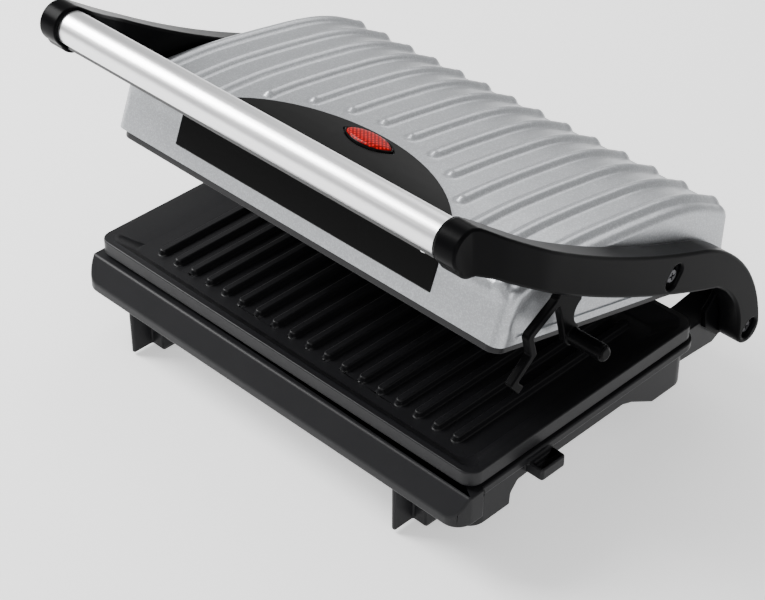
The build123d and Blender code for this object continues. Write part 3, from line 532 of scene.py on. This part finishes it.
def rib_lift(x, u, settings):
    """Height of the rib above the valley at (x, u)."""
    half = settings.rib_width / 2
    index = round(x / settings.rib_pitch - 0.5)
    edge = settings.rib_count // 2
    index = min(max(index, -edge), edge - 1)
    centre = (index + 0.5) * settings.rib_pitch
    start = (sqrt(max(91**2 - centre**2, 0)) - 34 if abs(centre) < 70 else -4.0) + half
    reach = hypot(x - centre, min(0.0, u - start)) / half
    if reach >= 1:
        return 0.0
    return settings.rib_height * (1 - reach**2) ** 1.15


def lid_profile(x, settings):
    """Points (u, v) of the lid's section at x: up the front wall, over the crown, down the rear wall."""
    points = [(WALL_LEAN * v, v) for v in (0, 3.4, 3.7, 4.6, 4.9, 8, 12, 16, 19.6)]
    for step in range(1, 9):
        angle = step / 8 * pi / 2
        # the front edge is rounded
        u = 6.5 - 4.0 * cos(angle)
        points.append((u, 19.6 + (smooth_crown(6.5) - 19.6) * sin(angle) + rib_lift(x, u, settings)))
    for step in range(1, 121):
        u = 6.5 + 141.5 * step / 120
        points.append((u, smooth_crown(u) + rib_lift(x, u, settings)))
    top_u, top_v = points[-1]
    for step in range(1, 7):
        angle = step / 6 * pi / 2 * 0.8
        points.append((top_u + 6.0 * sin(angle), top_v - 5.0 * (1 - cos(angle))))
    last_u, last_v = points[-1]
    for step in range(1, 8):
        t = step / 7
        points.append((last_u + (LID_DEPTH - last_u) * t, last_v * (1 - t)))
    return points


class PRESS_OT_lid(bpy.types.Operator):
    """Builds the ribbed lid shell"""

    bl_idname = "press.lid"
    bl_label = "Lid shell"

    def execute(self, context):
        settings = context.scene.press_lid
        half, round_x = 123.0, 5.0
        columns = []
        inner = half - round_x
        count = 236
        for i in range(count + 1):
            x = -inner + 2 * inner * i / count
            columns.append((x, lid_profile(x, settings)))
        base = lid_profile(inner, settings)
        edge = []
        for step in range(1, 7):
            angle = step / 6 * pi / 2
            drop = 4.0 * (1 - cos(angle))
            x = inner + round_x * sin(angle)
            # the upright corners are rounded too, by drawing both walls in
            pull = round_x * (1 - cos(angle))
            ring = []
            for u, v in base:
                shift = pull * (max(0.0, 1 - u / 20) - max(0.0, 1 - (LID_DEPTH - u) / 16))
                ring.append((x, u + shift, v - drop * min(1.0, v / 20)))
            edge.append(ring)
        last = edge[-1]
        for level in GROOVE_LEVELS:
            inset = GROOVE_INSET.get(level, 0.0)
            edge.append(
                [(half - inset * min(1.0, max(0.0, (u - 9) / 6)), u, min(v, level)) for _, u, v in last]
            )
        middle = [[(x, u, v) for u, v in points] for x, points in columns]
        mirrored = [[(-x, u, v) for x, u, v in ring] for ring in reversed(edge)]
        work = bmesh.new()
        grid = [[work.verts.new(lid(*point)) for point in ring] for ring in mirrored + middle + edge]
        for low, high in zip(grid, grid[1:]):
            for k in range(len(low) - 1):
                work.faces.new((low[k], high[k], high[k + 1], low[k + 1]))
        bmesh.ops.remove_doubles(work, verts=work.verts, dist=1e-5)
        bmesh.ops.dissolve_degenerate(work, edges=work.edges, dist=1e-6)
        bmesh.ops.recalc_face_normals(work, faces=work.faces)
        work.faces.ensure_lookup_table()
        highest = max(work.faces, key=lambda face: face.calc_center_median().z)
        if highest.normal.z < 0:
            bmesh.ops.reverse_faces(work, faces=work.faces)
        mesh = bpy.data.meshes.new("lid_shell")
        work.to_mesh(mesh)
        work.free()
        piece = helper_object(mesh)
        wall = piece.modifiers.new("wall", "SOLIDIFY")
        wall.thickness = 2.0 * MM
        wall.offset = -1
        finish_piece(
            evaluated(piece), "silver_lid", "lid", silver_paint(), ("lid_shell",), sharp=50
        )
        return {"FINISHED"}


class PRESS_OT_lid_trim(bpy.types.Operator):
    """Builds the half-moon panel, the front plate and the lamp lens"""

    bl_idname = "press.lid_trim"
    bl_label = "Lid trim"

    def execute(self, context):
        satin = grained(
            "satin black panel", (0.006, 0.006, 0.006), 0.30, drift=0.06, scale=1800, strength=0.05,
            Specular_IOR_Level=0.1,
        )
        gloss = grained(
            "gloss black plate", (0.003, 0.003, 0.003), 0.10, drift=0.04, scale=500, strength=0.015,
            Specular_IOR_Level=0.08,
        )
        soften_node("half_moon_panel", "half_moon", "lid", satin, 0.35, 2)
        soften_node("front_plate", "control_strip", "lid", gloss, 0.7, 3)
        finish_piece(
            self.dome(), "lamp_lens", "lid", lens_plastic(), ("indicator_lens",), sharp=38
        )
        finish_piece(self.surround(), "lamp_surround", "lid", gloss, sharp=38)
        return {"FINISHED"}

    def outline(self, scale, count=64):
        """Pointed oval about the lens centre, as (x, u) pairs."""
        points = []
        for i in range(count):
            angle = 2 * pi * i / count
            rise = abs(sin(angle)) ** 1.3 * (1 if angle < pi else -1)
            points.append((13.8 * scale * cos(angle), 6.0 * scale * rise))
        return points

    def place(self, x, u, height):
        """Point over the lens centre, on its tilted seat."""
        tilt = radians(4.7)
        return lid(x, 40 + u * cos(tilt) - height * sin(tilt), 35 + u * sin(tilt) + height * cos(tilt))

    def dome(self):
        """Lens: a skirt and a low dome."""
        rings = [[self.place(x, u, -4.6) for x, u in self.outline(0.96)]]
        rings.append([self.place(x, u, 1.6) for x, u in self.outline(0.98)])
        for step in range(1, 11):
            angle = step / 11 * pi / 2
            scale = 0.98 * cos(angle) ** 0.55
            rings.append([self.place(x, u, 1.6 + 2.1 * sin(angle)) for x, u in self.outline(scale)])
        return rings_to_mesh("lamp_lens", rings)

    def surround(self):
        """Thin bezel standing round the lens."""
        section = ((0.99, -1.0), (0.995, 1.9), (1.03, 2.2), (1.07, 1.9), (1.09, 0.4), (1.09, -1.0))
        rings = [[self.place(x, u, height) for x, u in self.outline(scale)] for scale, height in section]
        rings.append(rings[0])
        return rings_to_mesh("lamp_surround", rings, close_ends=False)


# ---------------------------------------------------------------------------
# Handle
# ---------------------------------------------------------------------------
class PRESS_OT_arms(bpy.types.Operator):
    """Builds the two arms, the hinge cover and the latch"""

    bl_idname = "press.arms"
    bl_label = "Arms and latch"

    def execute(self, context):
        black = context.scene.press_body.black
        width = context.scene.press_body.edge_radius
        moulded = grained(
            "moulded black", black, 0.30, drift=0.10, scale=1500, strength=0.08, Specular_IOR_Level=0.03
        )
        for side in ("left", "right"):
            soften_node(f"{side}_arm", f"{side}_swing_arm", "handle", moulded, 1.3, 3, angle=40)
        soften_node("hinge_cover", "rear_cover", "handle", moulded, width * 0.6, 2)
        soften_node("latch", "side_latch", "latch", moulded, width, 3)
        return {"FINISHED"}


TUBE_Y, TUBE_Z = -85, 175.5


class PRESS_OT_tube(bpy.types.Operator):
    """Builds the handle tube and the strip under it"""

    bl_idname = "press.tube"
    bl_label = "Handle tube"

    def execute(self, context):
        settings = context.scene.press_body
        radius, wall, half = settings.tube_radius, 1.3, 123.1
        section = [(-half, radius - wall), (-half, radius - 0.4), (-half + 0.4, radius)]
        section += [(-half + 8 + (2 * half - 16) * k / 24, radius) for k in range(25)]
        section += [(half - 0.4, radius), (half, radius - 0.4), (half, radius - wall)]
        sides = 72
        turn = 2 * pi / sides
        rings = [
            [home(x, TUBE_Y + r * cos(turn * k), TUBE_Z + r * sin(turn * k)) for k in range(sides)]
            for x, r in section
        ]
        rings.append(rings[0])
        metal = drawn_metal("drawn aluminium", settings.aluminium, 0.33)
        mesh = rings_to_mesh("handle_tube", rings, close_ends=False)
        finish_piece(mesh, "grip_tube", "handle", metal, ("handle_tube",), sharp=38)
        strip = grained("strip black", (0.012, 0.012, 0.013), 0.42, scale=1300)
        soften_node("tube_strip", "grip_strip", "handle", strip, 0.4, 2)
        return {"FINISHED"}


# ---------------------------------------------------------------------------
# Base, plates and screws
# ---------------------------------------------------------------------------
class PRESS_OT_base(bpy.types.Operator):
    """Builds the base housing, its cover, the feet and the lead bush"""

    bl_idname = "press.base"
    bl_label = "Base"

    def execute(self, context):
        charcoal = context.scene.press_body.charcoal
        width = context.scene.press_body.edge_radius
        plastic = grained(
            "housing plastic", charcoal, 0.40, drift=0.10, scale=1300, strength=0.14, Specular_IOR_Level=0.15
        )
        rubber = grained("rubber", (0.016, 0.016, 0.016), 0.72, drift=0.12, scale=700, strength=0.25)
        steel = drawn_metal("cover steel", (0.52, 0.52, 0.53), 0.38, scale=600)
        for node, name, slot, material, radius, segments in (
            ("base_housing", "base_shell", "housing_black", plastic, width * 1.3, 3),
            ("base_bottom_cover", "vented_cover", "cover_steel", steel, 0.25, 2),
            ("foot_pads", "foot_pads_soft", "rubber_black", rubber, 0.35, 2),
            ("lead_bush", "lead_grommet", "rubber_black", rubber, 0.5, 2),
        ):
            soften_node(node, name, "base", material, radius, segments)
        return {"FINISHED"}


class PRESS_OT_plates(bpy.types.Operator):
    """Builds the two ribbed cooking plates"""

    bl_idname = "press.plates"
    bl_label = "Grill plates"

    def execute(self, context):
        width = context.scene.press_plates.edge_radius / MM
        coat = grained(
            "nonstick coat", (0.008, 0.008, 0.009), 0.40, drift=0.16, scale=2200, strength=0.20,
            Specular_IOR_Level=0.2,
        )
        for level, body in (("lower", "base"), ("upper", "lid")):
            soften_node(f"{level}_grill_plate", f"{level}_cooking_plate", body, coat, width, 3)
        return {"FINISHED"}


class PRESS_OT_screws(bpy.types.Operator):
    """Builds the screw heads that face downwards"""

    bl_idname = "press.screws"
    bl_label = "Screws"

    def islands(self, node):
        """(lowest, highest) corner of each screw in a CAD node."""
        work = bmesh.new()
        work.from_mesh(frame["nodes"][node].data)
        bmesh.ops.remove_doubles(work, verts=work.verts, dist=MERGE)
        left = set(work.verts)
        boxes = []
        while left:
            seed = [left.pop()]
            points = []
            while seed:
                vert = seed.pop()
                points.append(vert.co.copy())
                for link in vert.link_edges:
                    other = link.other_vert(vert)
                    if other in left:
                        left.remove(other)
                        seed.append(other)
            boxes.append([Vector([pick(p[i] for p in points) for i in range(3)]) for pick in (min, max)])
        work.free()
        return boxes

    def execute(self, context):
        tree = screw_tree()
        chrome = drawn_metal("screw chrome", (0.88, 0.88, 0.90), 0.16, scale=1500)
        zinc = drawn_metal("screw zinc", (0.60, 0.61, 0.62), 0.30, scale=1200)
        rows = (
            ("handle_screws", "grip_screws", "handle", "screw_chrome", chrome, 2.1),
            ("cover_screws", "cover_screw_heads", "base", "screw_steel", zinc, 1.5),
            ("base_screws", "plate_screw_heads", "base", "screw_steel", zinc, 2.2),
        )
        for node, name, body, slot, metal, height in rows:
            boxes = self.islands(node)
            low, high = boxes[0]
            seats = [Vector(((a.x + b.x) / 2, (a.y + b.y) / 2, a.z + height * MM)) for a, b in boxes]
            values = {"Head radius": (high.x - low.x) / 2, "Head height": height * MM, "Material": metal}
            mesh = grown(points_mesh(seats), tree, values)
            finish_piece(mesh, name, body, metal, (node,), sharp=30)
        return {"FINISHED"}


class PRESS_OT_inner_parts(bpy.types.Operator):
    """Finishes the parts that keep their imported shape: heaters, shields, pins and thermostats"""

    bl_idname = "press.inner_parts"
    bl_label = "Inner parts"

    def execute(self, context):
        steel = drawn_metal("heater steel", (0.36, 0.35, 0.34), 0.42, scale=700)
        shield = drawn_metal("shield aluminium", (0.78, 0.78, 0.79), 0.34, scale=500)
        pin = drawn_metal("dark pin", (0.06, 0.06, 0.065), 0.34, scale=1200)
        ceramic = grained("ceramic", (0.74, 0.72, 0.67), 0.45, scale=900)
        clear = grained("lamp body", (0.62, 0.60, 0.55), 0.35, scale=900)
        finishes = {
            "heating_element": steel, "heat_shield": shield, "thermostat": ceramic, "fuse": ceramic,
            "terminal": ceramic, "lamp": clear, "pin": pin, "pivots": pin, "screws": pin,
        }
        for name, node in frame["nodes"].items():
            if node.hide_render:
                continue
            match = next((material for word, material in finishes.items() if word in name), None)
            if match is None:
                raise RuntimeError(f"no finish for {name}")
            for place in node.material_slots:
                place.material = match
        return {"FINISHED"}


class PRESS_OT_stage(bpy.types.Operator):
    """Adds the floor, the soft light and the camera"""

    bl_idname = "press.stage"
    bl_label = "Stage"

    def execute(self, context):
        scene = context.scene
        floor_mesh = bpy.data.meshes.new("floor")
        floor_mesh.from_pydata([(-6, -6, 0), (6, -6, 0), (6, 6, 0), (-6, 6, 0)], [], [(0, 1, 2, 3)])
        floor = bpy.data.objects.new("floor", floor_mesh)
        scene.collection.objects.link(floor)
        pale = grained(
            "pale floor", (0.90, 0.90, 0.90), 0.7, scale=40, strength=0.0, Emission_Color=(1, 1, 1, 1),
            Emission_Strength=0.6,
        )
        floor_mesh.materials.append(pale)
        world = bpy.data.worlds.new("studio")
        world.use_nodes = True
        world.node_tree.nodes["Background"].inputs[0].default_value = (1, 1, 1, 1)
        world.node_tree.nodes["Background"].inputs[1].default_value = 0.62
        scene.world = world
        target = home(0, 0, 90)
        for name, place, size, power in (
            ("key", home(-1150, -500, 1150), 0.8, 46),
            ("side", home(900, -900, 700), 0.8, 5),
            ("rear", home(-300, 1000, 1100), 1.0, 8),
        ):
            light = bpy.data.lights.new(name, "AREA")
            light.energy = power
            light.size = size
            lamp = bpy.data.objects.new(name, light)
            scene.collection.objects.link(lamp)
            aim = (target - place).to_track_quat("-Z", "Y").to_matrix().to_4x4()
            lamp.matrix_world = Matrix.Translation(place) @ aim
        eye = bpy.data.cameras.new("camera")
        eye.lens, eye.sensor_width = 97.8, 36
        camera = bpy.data.objects.new("camera", eye)
        scene.collection.objects.link(camera)
        across = Vector((0.7079, 0.7063, 0))
        up = Vector((-0.4241, 0.4250, 0.7997))
        ahead = Vector((-0.5648, 0.5661, -0.6004))
        turn = Matrix([(across[i], up[i], -ahead[i]) for i in range(3)]).to_4x4()
        camera.matrix_world = Matrix.Translation((0.5554, -0.5753, 0.6387)) @ turn
        scene.camera = camera
        return {"FINISHED"}


OPERATORS = (
    PRESS_OT_lid, PRESS_OT_lid_trim, PRESS_OT_arms, PRESS_OT_tube, PRESS_OT_base,
    PRESS_OT_plates, PRESS_OT_screws, PRESS_OT_inner_parts, PRESS_OT_stage,
)


class PRESS_PT_sidebar(bpy.types.Panel):
    """Lists the press's pieces and sizes"""

    bl_label = "Panini press"
    bl_idname = "PRESS_PT_sidebar"
    bl_space_type = "VIEW_3D"
    bl_region_type = "UI"
    bl_category = "Panini press"

    def draw(self, context):
        for name, group in SETTINGS.items():
            for prop in group.__annotations__:
                self.layout.prop(getattr(context.scene, name), prop)
        for operator in OPERATORS:
            self.layout.operator(operator.bl_idname)


CLASSES = (*SETTINGS.values(), *OPERATORS, PRESS_PT_sidebar)


def register():
    for item in CLASSES:
        bpy.utils.register_class(item)
    for name, group in SETTINGS.items():
        setattr(bpy.types.Scene, name, bpy.props.PointerProperty(type=group))


def unregister():
    for name in SETTINGS:
        delattr(bpy.types.Scene, name)
    for item in reversed(CLASSES):
        bpy.utils.unregister_class(item)


def main():
    register()
    for operator in OPERATORS:
        family, name = operator.bl_idname.split(".")
        getattr(getattr(bpy.ops, family), name)()


if __name__ == "__main__":
    main()
